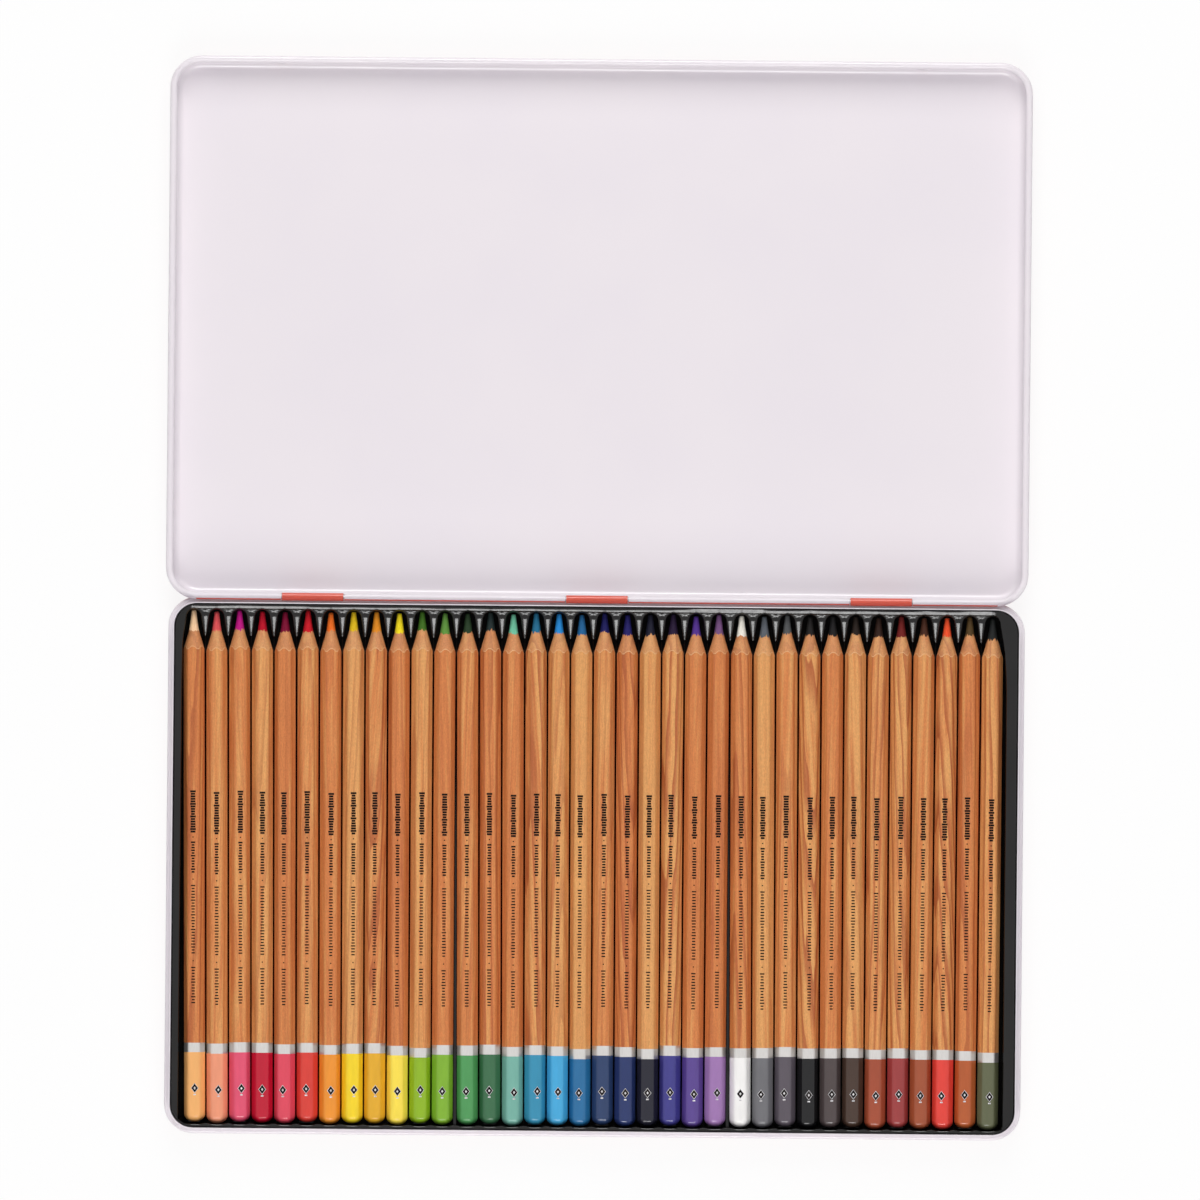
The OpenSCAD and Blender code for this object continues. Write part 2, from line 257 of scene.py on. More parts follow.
def black_plastic():
    look = Look("black_tray_plastic")
    at = look.here()
    wave = look.noise(look.scaled(at, (0.03, 0.1, 0.1)), 1.0, 1)
    tone = look.mix(look.step(look.noise(at, 0.05, 2), 0.3, 0.7), srgb(16, 15, 15), srgb(22, 20, 20))
    return look.finish(
        Base_Color=tone,
        Roughness=look.step(look.noise(at, 0.7, 2), 0.2, 0.8, 0.15, 0.22),
        Specular_IOR_Level=0.34,
        Normal=look.bump(wave, 0.25, 0.5 * MM),
    )


def steel_wire():
    look = Look("steel_wire_bare")
    at = look.here()
    drawn = look.noise(look.scaled(at, (0.2, 6, 6)), 1.0, 3)
    return look.finish(
        Base_Color=look.mix(drawn, srgb(150, 150, 155), srgb(196, 196, 200)),
        Metallic=1.0,
        Roughness=0.32,
        Normal=look.bump(drawn, 0.2, 0.05 * MM),
    )


# Width of one year's growth in the cedar, in millimetres
RING_WIDTH = 2.1


def cedar_colour(look, raw):
    """Cedar's colour and its fibres' height, from the pencil's own grain coordinates."""
    grain = look.attribute("grain")["Vector"]
    cast = look.xyz(look.attribute("cast")["Vector"])
    warp = look.noise(look.scaled(grain, (0.3, 0.3, 0.02)), 1.0, 2)
    radius = look.vmath("LENGTH", look.vmath("MULTIPLY", grain, (1, 1, 0)))
    radius = look.math("ADD", radius, look.math("MULTIPLY", warp, 3.0))
    ring = look.math("FRACT", look.math("DIVIDE", radius, RING_WIDTH))
    late = look.math("MULTIPLY", look.step(ring, 0.4, 0.93), look.step(ring, 0.94, 1.0, 1.0, 0.0))
    streak = look.noise(look.scaled(grain, (0.8, 0.8, 0.012)), 1.0, 3, 0.6)
    fibre = look.noise(look.scaled(grain, (6.0, 6.0, 0.3)), 1.0, 3, 0.6)
    fleck = look.noise(look.scaled(grain, (2.4, 2.4, 1.3)), 1.0, 3, 0.7)
    warmth = look.math("ADD", cast[0], look.math("MULTIPLY", look.math("SUBTRACT", streak, 0.5), 1.7))
    colour = look.mix(look.step(warmth, 0.0, 0.6), PALE_CEDAR, WARM_CEDAR)
    colour = look.mix(look.step(warmth, 0.55, 1.2), colour, RED_CEDAR)
    colour = look.mix(look.math("MULTIPLY", late, cast[1]), colour, LATEWOOD)
    if raw:
        colour = look.mix(0.45, colour, RAW_CEDAR)
    pores = look.noise(look.scaled(grain, (5.0, 5.0, 1.2)), 1.0, 2)
    shade = look.step(fibre, 0.25, 0.75, 0.87, 1.07)
    shade = look.math("ADD", shade, look.step(fleck, 0.3, 0.7, -0.09, 0.08))
    shade = look.math("ADD", shade, look.step(pores, 0.62, 0.75, 0.0, -0.14))
    return look.mix(1.0, colour, shade, "MULTIPLY"), fibre


def varnished_cedar():
    look = Look("varnished_cedar")
    colour, fibre = cedar_colour(look, False)
    return look.finish(
        Base_Color=colour,
        Roughness=0.45,
        Coat_Weight=0.15,
        Coat_Roughness=0.25,
        Specular_IOR_Level=0.3,
        Normal=look.bump(fibre, 0.2, 0.05 * MM),
    )


def raw_cedar():
    look = Look("sharpened_cedar")
    colour, fibre = cedar_colour(look, True)
    return look.finish(
        Base_Color=colour,
        Roughness=0.62,
        Normal=look.bump(fibre, 0.5, 0.1 * MM),
    )


def cut_edge():
    look = Look("cut_edge_of_varnish")
    grain = look.attribute("grain")["Vector"]
    fleck = look.noise(look.scaled(grain, (3, 3, 3)), 1.0, 2)
    return look.finish(Base_Color=look.mix(fleck, CUT_CEDAR, srgb(206, 150, 100)), Roughness=0.6)


def pigment_core():
    look = Look("pigment_core")
    grain = look.attribute("grain")["Vector"]
    pigment = look.attribute("pigment")["Color"]
    rub = look.noise(look.scaled(grain, (3.0, 3.0, 0.5)), 1.0, 3, 0.6)
    shade = look.step(rub, 0.2, 0.8, 0.84, 1.12)
    return look.finish(
        Base_Color=look.mix(1.0, pigment, shade, "MULTIPLY"),
        Roughness=0.6,
        Specular_IOR_Level=0.15,
        Normal=look.bump(rub, 0.5, 0.15 * MM),
    )


def lacquer():
    look = Look("dipped_lacquer")
    grain = look.attribute("grain")["Vector"]
    pigment = look.attribute("pigment")["Color"]
    flow = look.noise(look.scaled(grain, (0.5, 0.5, 0.12)), 1.0, 2)
    shade = look.step(flow, 0.2, 0.8, 0.95, 1.04)
    return look.finish(
        Base_Color=look.mix(1.0, pigment, shade, "MULTIPLY"),
        Roughness=0.34,
        Coat_Weight=0.7,
        Coat_Roughness=0.1,
        Specular_IOR_Level=0.0,
        Normal=look.bump(flow, 0.1, 0.2 * MM),
    )


def foil():
    look = Look("silver_foil")
    grain = look.attribute("grain")["Vector"]
    brushed = look.noise(look.scaled(grain, (4.0, 4.0, 0.4)), 1.0, 3)
    return look.finish(
        Base_Color=look.mix(brushed, srgb(198, 195, 192), srgb(220, 217, 214)),
        Metallic=0.78,
        Roughness=look.step(brushed, 0.2, 0.8, 0.3, 0.4),
        Normal=look.bump(brushed, 0.15, 0.05 * MM),
    )


def print_ink():
    look = Look("printed_marks")
    grain = look.attribute("grain")["Vector"]
    worn = look.noise(look.scaled(grain, (3.0, 3.0, 3.0)), 1.0, 2)
    return look.finish(
        Base_Color=look.mix(look.step(worn, 0.3, 0.8), srgb(16, 12, 11), srgb(30, 22, 19)),
        Roughness=0.5,
        Specular_IOR_Level=0.1,
    )


def stamped_mark():
    look = Look("stamped_mark")
    grain = look.attribute("grain")["Vector"]
    worn = look.noise(look.scaled(grain, (2.0, 2.0, 2.0)), 1.0, 2)
    return look.finish(
        Base_Color=look.mix(look.step(worn, 0.3, 0.7), srgb(176, 174, 176), srgb(232, 230, 232)),
        Metallic=0.8,
        Roughness=0.35,
    )


# ---- pencils ----

# Name, colour of the dipped end and colour of the point, from left to right
COLOURS = [
    ("peach", (245, 180, 110), (254, 212, 168)),
    ("salmon", (240, 155, 120), (226, 84, 88)),
    ("pink", (228, 85, 115), (196, 24, 134)),
    ("crimson", (195, 20, 50), (186, 16, 40)),
    ("rose", (225, 75, 95), (125, 12, 50)),
    ("red", (220, 65, 55), (202, 26, 40)),
    ("orange", (240, 150, 50), (242, 112, 36)),
    ("yellow", (248, 215, 40), (230, 192, 30)),
    ("ochre", (232, 175, 45), (228, 142, 36)),
    ("light_yellow", (252, 225, 80), (250, 226, 36)),
    ("lime", (145, 185, 35), (68, 114, 36)),
    ("leaf", (130, 180, 50), (98, 150, 66)),
    ("green", (80, 155, 90), (40, 60, 38)),
    ("dark_green", (60, 110, 75), (34, 46, 46)),
    ("mint", (120, 180, 165), (115, 200, 165)),
    ("teal", (55, 145, 180), (40, 112, 148)),
    ("light_blue", (70, 170, 220), (42, 140, 216)),
    ("blue", (40, 110, 160), (38, 100, 152)),
    ("slate", (45, 65, 105), (30, 30, 92)),
    ("navy", (40, 55, 105), (38, 34, 102)),
    ("blue_black", (35, 35, 48), (28, 28, 44)),
    ("indigo", (65, 62, 138), (38, 25, 52)),
    ("purple", (92, 70, 145), (86, 54, 146)),
    ("lilac", (160, 120, 178), (122, 85, 132)),
    ("white", (246, 245, 243), (244, 240, 228)),
    ("grey", (112, 112, 116), (92, 98, 106)),
    ("dark_grey", (92, 85, 94), (86, 88, 90)),
    ("black", (22, 22, 24), (30, 28, 28)),
    ("warm_grey", (80, 70, 70), (28, 27, 28)),
    ("dark_brown", (72, 54, 45), (36, 28, 24)),
    ("rust", (165, 78, 52), (45, 28, 22)),
    ("maroon", (158, 62, 62), (112, 34, 32)),
    ("brown", (162, 82, 52), (72, 42, 30)),
    ("vermilion", (228, 68, 58), (242, 84, 46)),
    ("tan", (182, 92, 48), (85, 65, 38)),
    ("olive", (98, 102, 75), (32, 34, 34)),
]

# Pencils whose foil band sits nearer the end, and by how much
LOW_BANDS = {11: 1.2, 18: 0.7, 21: 0.8, 35: 0.6, 36: 0.6}

MATERIALS = ["lacquer", "foil", "cedar", "cut", "raw", "core", "ink", "mark"]
LACQUER, FOIL, CEDAR, CUT, RAW, CORE, INK, MARK = range(len(MATERIALS))


def section():
    """Directions and radii of a hexagon with rounded edges. One flat faces -y."""
    half_flat = math.degrees(math.acos(APOTHEM / EDGE_R))
    points = []
    for side in range(6):
        middle = 30 + 60 * side
        half = APOTHEM * math.tan(math.radians(half_flat))
        for share in (-1, -0.82, -0.3, 0.3, 0.82, 1):
            along = share * half
            angle = middle + math.degrees(math.atan2(along, APOTHEM))
            points.append((math.radians(angle), math.hypot(APOTHEM, along)))
        arc = 60 - 2 * half_flat
        for share in (1 / 3, 2 / 3):
            points.append((math.radians(middle + half_flat + share * arc), EDGE_R))
    return points


SECTION = section()

# How much the thick lacquer rounds out the dipped end's flats
SWELL = [1 + 0.35 * (EDGE_R / full - 1) for _, full in SECTION]


class Piece:
    """Collects the rings, faces and material numbers of one mesh."""

    def __init__(self):
        self.points = []
        self.faces = []
        self.numbers = []
        self.tints = []

    def point(self, co, tint):
        self.points.append(co)
        self.tints.append(tint)
        return len(self.points) - 1

    def ring(self, cos, tint):
        return [self.point(co, tint) for co in cos]

    def face(self, corners, number):
        self.faces.append(corners)
        self.numbers.append(number)

    def band(self, low, high, number):
        count = len(low)
        for k in range(count):
            j = (k + 1) % count
            self.face([low[k], low[j], high[j], high[k]], number)

    def cap(self, ring, co, number, tint, upward):
        middle = self.point(co, tint)
        count = len(ring)
        for k in range(count):
            j = (k + 1) % count
            self.face([ring[k], ring[j], middle] if upward else [ring[j], ring[k], middle], number)

    def slab(self, outline, low, high, number, tint):
        """A flat plate on the upper flat. The outline is (x, z) and turns left seen from -y."""
        under = [self.point((x, -low, z), tint) for x, z in outline]
        over = [self.point((x, -high, z), tint) for x, z in outline]
        count = len(outline)
        self.face(over, number)
        self.face(under[::-1], number)
        for k in range(count):
            j = (k + 1) % count
            self.face([under[k], under[j], over[j], over[k]], number)


# The dipped end's rounding, half an oval: share of the full radius and height above the end
DOME_H = 2.7
DOME = [
    (share, DOME_H * (1 - math.sqrt(1 - share ** 2)))
    for share in (0.25, 0.45, 0.62, 0.75, 0.85, 0.91, 0.95, 0.98, 1.0)
]


def cone_depth(r):
    """Distance from the point at which the sharpened cone has radius r."""
    return CORE_BARE + (r - CORE_R) * (SHARP_L - CORE_BARE) / (EDGE_R - CORE_R)


def cone_radius(depth):
    if depth < CORE_BARE:
        return TIP_R + (CORE_R - TIP_R) * depth / CORE_BARE
    return CORE_R + (EDGE_R - CORE_R) * (depth - CORE_BARE) / (SHARP_L - CORE_BARE)


def around(radius_of, z_of):
    """A ring over the section's directions. Both calls get the direction's number and radius."""
    out = []
    for k, (angle, full) in enumerate(SECTION):
        r = radius_of(k, full)
        out.append((r * math.cos(angle), r * math.sin(angle), z_of(k, full)))
    return out


def bar(piece, z, thick, width, number, x=0.0, lift=0.0):
    """One printed bar across the upper flat."""
    outline = [(x - width / 2, z - thick / 2), (x - width / 2, z + thick / 2),
               (x + width / 2, z + thick / 2), (x + width / 2, z - thick / 2)]
    piece.slab(outline, APOTHEM - 0.02 + lift, APOTHEM + 0.012 + lift, number, GREY)


GREY = (0.5, 0.5, 0.5, 1.0)

# Groups of plain printed bars: start and end along the pencil, spacing, thickness, width
BAR_GROUPS = [
    (113.0, 99.2, 0.86, 0.68, 1.95),
    (95.6, 85.2, 0.92, 0.56, 1.5),
    (80.8, 57.4, 1.0, 0.44, 1.5),
    (52.8, 40.4, 1.0, 0.44, 1.5),
]
DOTS = [97.4, 83.0, 55.1]


def printed_marks(piece, dice):
    """Plain marks of alternating lengths, as on a rule."""
    for start, end, step, thick, width in BAR_GROUPS:
        count = int((start - end) / step) + 1
        for k in range(count):
            share = 1.0 if k % 5 == 0 else dice.choice((0.66, 0.76, 0.86))
            bar(piece, start - k * step, thick, width * share, INK)
    for z in DOTS:
        bar(piece, z, 0.4, 0.4, INK)


# Height of a stamp's face over the wood's flats, above the thick lacquer
STAMP_LIFT = 0.125


# The lozenge stamped on the dipped end: height above the end, half sizes, and the shares of
# them at which its black ring starts and stops
LOZENGE_Z = 11.6
LOZENGE_HALF = (1.3, 1.75)
LOZENGE_RING = (0.88, 0.3)


def lozenge(piece, z, x):
    """A plain lozenge ring stamped in black on silver, with a short bar under it."""
    half_x, half_z = LOZENGE_HALF
    outer, inner = LOZENGE_RING
    corners = [(half_x, 0), (0, -half_z), (-half_x, 0), (0, half_z)]
    plate = [(x + a, z + b) for a, b in corners]
    piece.slab(plate, APOTHEM, APOTHEM + STAMP_LIFT, MARK, GREY)
    for k in range(4):
        a = corners[k]
        b = corners[(k + 1) % 4]
        outline = [(x + a[0] * outer, z + a[1] * outer), (x + b[0] * outer, z + b[1] * outer),
                   (x + b[0] * inner, z + b[1] * inner), (x + a[0] * inner, z + a[1] * inner)]
        piece.slab(outline, APOTHEM, APOTHEM + STAMP_LIFT + 0.015, INK, GREY)
    bar(piece, z - half_z - 0.45, 0.45, 0.9, MARK, x, STAMP_LIFT)


def dipped_end(piece, dip_l, tint):
    """The lacquered end from its rounding up to the foil band. Returns its last ring."""
    rings = []
    for share, z in DOME + [(1.0, 3.4), (1.0, dip_l - 0.5)]:
        rings.append(around(lambda k, r: r * SWELL[k] * share, lambda k, r: z))
    rings.append(around(lambda k, r: r, lambda k, r: dip_l))
    rows = [piece.ring(cos, tint) for cos in rings]
    for low, high in zip(rows, rows[1:]):
        piece.band(low, high, LACQUER)
    piece.cap(rows[0], (0, 0, 0), LACQUER, tint, False)
    return rows[-1]


# Distances below the cut line at which the varnished wood has rings
WOOD_RINGS = (20.0, 0.12, 0.0)


def sharpened_end(piece, last, core_tint, dice):
    """The bright cut line, the bare wood down to a ragged border, and the core with its point."""
    ragged = [dice.uniform(0.12, 0.34) for _ in SECTION]
    slope = (EDGE_R - CORE_R) / (SHARP_L - CORE_BARE)
    row = piece.ring(
        around(lambda k, r: r - slope * ragged[k], lambda k, r: PENCIL_L - cone_depth(r) + ragged[k]), GREY)
    piece.band(last, row, CUT)
    last = row
    waves = [(dice.uniform(0, 6.28), dice.uniform(0.1, 0.5), m) for m in (2, 5, 9, 14)]
    bare = CORE_BARE + dice.uniform(-0.5, 0.7)
    border = []
    for angle, _ in SECTION:
        jag = sum(size * math.sin(m * angle + phase) for phase, size, m in waves) / 1.6
        border.append(bare + jag + dice.uniform(-0.15, 0.15))
    for share in (0.35, 0.7, 1.0):
        def depth(k, r):
            top = cone_depth(r) - ragged[k]
            return top + (border[k] - top) * share
        row = piece.ring(
            around(lambda k, r: cone_radius(depth(k, r)), lambda k, r: PENCIL_L - depth(k, r)),
            core_tint if share == 1.0 else GREY)
        piece.band(last, row, RAW)
        last = row
    for share in (0.55, 0.25, 0.08):
        row = piece.ring(
            around(lambda k, r: cone_radius(border[k] * share), lambda k, r: PENCIL_L - border[k] * share),
            core_tint)
        piece.band(last, row, CORE)
        last = row
    for r_at, depth_at in ((TIP_R * 0.93, 0.12), (TIP_R * 0.6, 0.02)):
        row = piece.ring(around(lambda k, r: r_at, lambda k, r: PENCIL_L - depth_at), core_tint)
        piece.band(last, row, CORE)
        last = row
    piece.cap(last, (0, 0, PENCIL_L), CORE, core_tint, True)


def pencil_mesh(n, dice):
    """One whole pencil, standing on its dipped end at the origin."""
    dip_tint = srgb(*COLOURS[n - 1][1])
    core_tint = srgb(*COLOURS[n - 1][2])
    dip_l = DIP_L - LOW_BANDS.get(n, 0) + dice.uniform(-0.15, 0.15)
    band_end = dip_l + BAND_L - dice.uniform(0.1, 0.4)
    piece = Piece()
    dip_top = dipped_end(piece, dip_l, dip_tint)
    last = piece.ring(around(lambda k, r: r, lambda k, r: band_end), GREY)
    piece.band(dip_top, last, FOIL)
    for back in WOOD_RINGS:
        row = piece.ring(around(lambda k, r: r, lambda k, r: PENCIL_L - cone_depth(r) - back), GREY)
        piece.band(last, row, CEDAR)
        last = row
    sharpened_end(piece, last, core_tint, dice)
    printed_marks(piece, dice)
    lozenge(piece, LOZENGE_Z, 0.15 + 0.4 * uneven(3 * n))
    return piece


def uneven(n):
    return math.sin(math.radians(UNEVEN_STEP * n))


def lie(n):
    """The place of pencil n: from upright at the origin to its cradle in the tray."""
    tip_x = FIRST_TIP_X + (n - 1) * TIP_PITCH
    end_x = FIRST_END_X + (n - 1) * END_PITCH + (n - 1) // DOZEN * DOZEN_GAP
    rib_span = (TIP_Y - BACK_RIB) - (END_Y + FRONT_RIB)
    lean = math.atan((end_x - tip_x) / rib_span)
    turn = math.radians(UNEVEN_TURN * uneven(2 * n))
    return (
        Matrix.Translation((end_x, END_Y + FRONT_RIB, PENCIL_Z))
        @ Matrix.Rotation(lean, 4, "Z")
        @ Matrix.Translation((0, -FRONT_RIB, 0))
        @ Matrix.Rotation(-math.pi / 2, 4, "X")
        @ Matrix.Translation((0, 0, UNEVEN_L * uneven(n)))
        @ Matrix.Rotation(turn, 4, "Z")
    )


# Pencils whose wood shows bold figures
FIGURED = (9, 16, 20, 22, 28, 34)


def grain_place(dice, most_tilt):
    """From the pencil's own axes to those of the tree that it was cut from."""
    return (
        Matrix.Translation((dice.uniform(-200, 200), dice.uniform(8, 30) * dice.choice((-1, 1)), 0))
        @ Matrix.Rotation(math.radians(dice.uniform(-most_tilt, most_tilt)), 4, "X")
        @ Matrix.Rotation(math.radians(dice.uniform(-most_tilt, most_tilt)), 4, "Y")
        @ Matrix.Translation((0, 0, dice.uniform(-4000, 4000)))
    )


def make_pencil(n, materials):
    dice = random.Random(3600 + n)
    piece = pencil_mesh(n, dice)
    name = f"pencil_{n:02d}"
    place = lie(n)
    mesh = bpy.data.meshes.new(name + "_mesh")
    mesh.from_pydata([MM * (place @ Vector(co)) for co in piece.points], [], piece.faces)
    for material in materials:
        mesh.materials.append(material)
    mesh.polygons.foreach_set("material_index", piece.numbers)
    mesh.polygons.foreach_set("use_smooth", [number not in (INK, MARK) for number in piece.numbers])
    tree = grain_place(dice, 5.0 if n in FIGURED else 2.2)
    grain = mesh.attributes.new("grain", "FLOAT_VECTOR", "POINT")
    grain.data.foreach_set("vector", [v for co in piece.points for v in tree @ Vector(co)])
    tints = mesh.attributes.new("pigment", "FLOAT_COLOR", "POINT")
    tints.data.foreach_set("color", [v for tint in piece.tints for v in tint])
    bold = dice.choice((0.15, 0.25, 0.4, 0.75))
    cast = (dice.uniform(0.0, 0.65), 0.85 if n in FIGURED else bold, 0.0)
    casts = mesh.attributes.new("cast", "FLOAT_VECTOR", "POINT")
    casts.data.foreach_set("vector", list(cast) * len(piece.points))
    mesh.validate()
    mesh.update()
    obj = bpy.data.objects.new(name + "_dressed", mesh)
    bpy.context.scene.collection.objects.link(obj)
    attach(obj, name + "_body")
    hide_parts(name)
    return obj


pencil_materials = [
    lacquer(), foil(), varnished_cedar(), cut_edge(), raw_cedar(), pigment_core(), print_ink(), stamped_mark()
]
for number in range(1, PENCILS + 1):
    make_pencil(number, pencil_materials)

# ---- the tray ----


def smooth(value, low, high):
    t = min(max((value - low) / (high - low), 0.0), 1.0)
    return t * t * (3 - 2 * t)


def ramp(value, points):
    """A value read from straight lines between (place, value) pairs in rising order."""
    for (x0, y0), (x1, y1) in zip(points, points[1:]):
        if value <= x1:
            return y0 + (y1 - y0) * max(value - x0, 0.0) / (x1 - x0)
    return points[-1][1]


def axis_x(n, y):
    """Where pencil n's axis crosses the line across the tray at y."""
    tip_x = FIRST_TIP_X + (n - 1) * TIP_PITCH
    end_x = FIRST_END_X + (n - 1) * END_PITCH + (n - 1) // DOZEN * DOZEN_GAP
    share = (TIP_Y - BACK_RIB - y) / ((TIP_Y - BACK_RIB) - (END_Y + FRONT_RIB))
    return tip_x + (end_x - tip_x) * share


def half_width(y):
    """Half the width of the pocket round a point, or of the cradle further down."""
    arch_y = POCKET_BACK - ARCH_R
    if y > arch_y:
        return math.sqrt(max(ARCH_R ** 2 - (y - arch_y) ** 2, 0.25))
    return min(ARCH_R + (CRADLE_R - ARCH_R) * (arch_y - y) / COMB_L, CRADLE_R)


def past_box(x, y, low, high, r):
    """Distance outside a rounded rectangle, negative inside."""
    dx = max(low[0] + r - x, x - high[0] + r)
    dy = max(low[1] + r - y, y - high[1] + r)
    return math.hypot(max(dx, 0), max(dy, 0)) + min(max(dx, dy), 0) - r


# Slope of the moulding's faces that catch the light
SLOPE = 0.437

# The comb between the points, from back to front: distance from the pocket's back and depth
# below the rim
COMB_PROFILE = [
    (-0.05, 0.75), (0.15, 0.8), (0.25, 0.82), (1.1, 1.19), (2.2, 1.22), (7.9, 3.71), (9.0, 4.0), (9.3, 4.75),
]
COMB_END = POCKET_BACK - COMB_PROFILE[-1][0]


def is_outer(n, side):
    """Whether this side of pencil n faces the pocket's left or right wall."""
    return (n, side) in ((1, -1), (PENCILS, 1))


# The first and the last pocket narrow from the whole pocket to an arch between these places
OUTER_NARROWS = (60.0, 86.0)

# The floor under a pencil turns from a cradle to a funnel between these places
FUNNEL_STARTS = (77.0, 81.0)


def reach(n, y, side):
    """Distance from a pencil's axis to its pocket's wall. The outer two open to the whole pocket."""
    w = half_width(y)
    if is_outer(n, side):
        wall = POCKET_LEFT if side < 0 else POCKET_RIGHT
        w += (abs(wall - axis_x(n, y)) - w) * (1 - smooth(y, *OUTER_NARROWS))
    return w


def land_drop(x, y):
    """How far the land behind and between the points lies below the rim."""
    across = smooth(x, axis_x(1, y) - 2.2, axis_x(1, y) - 0.4)
    across *= 1 - smooth(x, axis_x(PENCILS, y) + 0.4, axis_x(PENCILS, y) + 2.2)
    wave = 0.06 * math.sin(x / 3.1) + 0.05 * math.sin(x / 7.7 + 1)
    wide = 0.35 * smooth(x, 30, 105) + 0.2 * (1 - smooth(x, -120, -60))
    wide += 0.6 * math.exp(-((x - 45) / 16) ** 2)
    start = -1.1 - wide + 1.5 * wave
    stop = -0.2 + wave
    profile = [(start, 0.0), (stop, (stop - start) * SLOPE)] + COMB_PROFILE
    return across * ramp(POCKET_BACK - y, profile)


# The front wall's top catches the light like the comb
FRONT_LIP = -80.0
LIP_PROFILE = [(0.0, 0.3), (0.08, 0.184), (0.5, 0.0)]


# A wall's rounded top drops by this much over this run, and the wall itself takes this run
ROUND_DROP = 0.3
ROUND_RUN = 0.45
WALL_RUN = 0.35


def wall_top(past, land, low, lip=False):
    """Height at a distance past a pocket's edge, up a wall and over its rounded top."""
    if past >= 0:
        drop = ramp(past, LIP_PROFILE) if lip else ROUND_DROP * (1 - min(past / ROUND_RUN, 1.0)) ** 2
        return land - drop
    return low + (land - ROUND_DROP - low) * max(1 + past / WALL_RUN, 0.0)


# The floor between two ribs: distance from a pencil's axis and height over the floor
GULLY = [(1.9, 0.0), (2.7, 0.7), (3.45, 2.4), (3.85, 1.0), (4.3, 0.0)]


def channel(dx, y):
    """The floor under a pencil, closing to a funnel round its point."""
    cradle = PENCIL_Z - math.sqrt(max(CRADLE_R ** 2 - dx ** 2, 0.0))
    cradle = min(max(cradle, TRAY_FLOOR), RIB_TOP)
    funnel = min(TRAY_FLOOR + 0.85 * dx, RIB_TOP)
    share = smooth(y, *FUNNEL_STARTS)
    return cradle + (funnel - cradle) * share


def side_bank(dx):
    """The floor's steep bank beside the first and the last pencil."""
    return min(TRAY_FLOOR + 1.7 * max(dx - 3.1, 0.0), RIB_TOP)


# Height of the cusp between two neighbouring ends in the pocket's front wall
CUSP = 0.5

# The pocket's rectangle runs on past the comb, so that its back never ends a floor
PAST_COMB = 9.0


def tray_height(x, y):
    """Height of the moulding's upper face at any place."""
    outer = past_box(x, y, TRAY_LOW, TRAY_HIGH, TRAY_R)
    edge = TRAY_HIGH[2] - 0.2 * smooth(outer, -0.25, 0.0)
    near = min(range(1, PENCILS + 1), key=lambda n: abs(x - axis_x(n, y)))
    side = -1 if x < axis_x(near, y) else 1
    dx = abs(x - axis_x(near, y))
    arch_y = POCKET_BACK - ARCH_R
    if y > COMB_END:
        past = dx - reach(near, y, side)
        if y > arch_y:
            past = math.hypot(dx, y - arch_y) - ARCH_R
        return min(edge, wall_top(past, edge - land_drop(x, y), channel(dx, y)))
    # The front wall has a small cusp between neighbouring ends
    cusp = CUSP * math.sin(min(dx / END_PITCH, 0.5) * math.pi) ** 4
    front = POCKET_FRONT + (cusp if abs(x) < abs(POCKET_LEFT) - 3 else 0.0)
    past = past_box(x, y, (POCKET_LEFT, front), (POCKET_RIGHT, POCKET_BACK + PAST_COMB), POCKET_R)
    if is_outer(near, side):
        past = max(past, dx - reach(near, y, side))
        return wall_top(past, edge, side_bank(dx), y < FRONT_LIP)
    ribs = (END_Y + FRONT_RIB, TIP_Y - BACK_RIB)
    between = ribs[0] + RIB_HALF < y < ribs[1] - RIB_HALF
    low = TRAY_FLOOR + ramp(dx, GULLY) if between else channel(dx, y)
    return wall_top(past, edge, low, y < FRONT_LIP)


# Rows of the tray's mesh from back to front: the back rim and its crest, the comb, the ribs
# and the long floor, and the front lip
TRAY_ROWS = [
    89.25, 89.1, 88.85, 88.6, 88.4, 88.2, 88.0, 87.85, 87.75, 87.65, 87.55, 87.4, 87.2, 87.0, 86.7, 86.4,
    85.9, 85.5, 85.25, 84.95, 84.4, 83.6, 82.7, 81.8, 81.0, 80.2, 79.6, 79.0, 78.5, 78.2, 77.2,
    75.0, 72.65, 72.5, 69.0, 65.5, 62.0, 58.0, 40.0, 0.0, -40.0, -68.7, -68.85, -75.0, -81.8,
    -83.5, -85.0, -86.2, -87.1, -87.5, -87.7, -87.85, -88.0, -88.15, -88.3, -88.42, -88.55, -88.69,
    -88.85, -89.0, -89.12, -89.27,
]

# Columns of the flat rim beside the pocket, as shares of the way to the tray's side
SIDE_SHARES = (0.05, 0.12, 0.2, 0.35, 0.55, 0.75, 0.9, 0.965, 1.0)

# Columns on a tooth: distance past the pocket's wall, at most this share of the tooth's half
TOOTH = [(9.0, 1.0), (0.42, 0.7), (0.16, 0.3)]

# Least distance between two columns, where the tray's round corners squeeze them
LEAST_STEP = 0.012


def pocket_columns(w):
    """Columns on one side of a pencil's axis, from the pocket's wall inwards."""
    return [w, w - 0.16, w - 0.35, 0.72 * w - 0.1, 0.4 * w]


